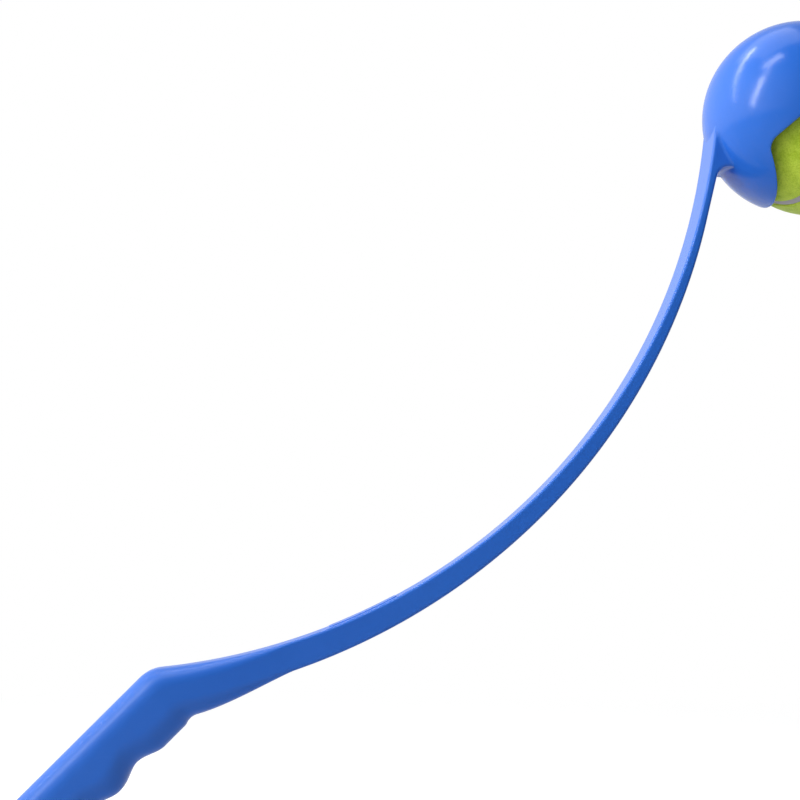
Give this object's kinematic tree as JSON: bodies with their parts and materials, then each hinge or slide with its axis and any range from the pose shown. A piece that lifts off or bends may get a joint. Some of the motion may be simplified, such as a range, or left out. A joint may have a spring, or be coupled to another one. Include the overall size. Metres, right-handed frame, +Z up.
{
  "type": "hand-held dog ball launcher",
  "caption": "Hand-held dog ball launcher: a contoured grip and a long curved arm moulded in one with a snap-in cup, holding a felt-covered ball that slides out.",
  "frame": {"origin": "middle of the grip, on its axis, where the palm closes round it", "axes": "+Z up; +X along the row from the grip towards the cup; +Y across the width, so the arm curves in the XZ plane, which is the moulding's plane of symmetry"},
  "size_m": [0.3478, 0.072, 0.3276],
  "materials": {
    "moulded_blue": "moulded, glossy with a faint grain",
    "ball_felt": "short fuzzy felt",
    "seam_rubber": "matte",
    "core_rubber": "matte"
  },
  "bodies": {
    "launcher": {"grip": "moulded_blue", "throwing_arm": "moulded_blue", "ball_cup": "moulded_blue"},
    "ball": {"felt_panel_front": "ball_felt", "felt_panel_back": "ball_felt", "seam_strip": "seam_rubber", "core_half_upper": "core_rubber", "core_half_lower": "core_rubber"}
  },
  "joints": [
    {"name": "ball_slide", "type": "slide", "parent": "launcher", "child": "ball", "axis": [0.8093, 0, -0.5874], "range_m": [0, 0.08]}
  ]
}
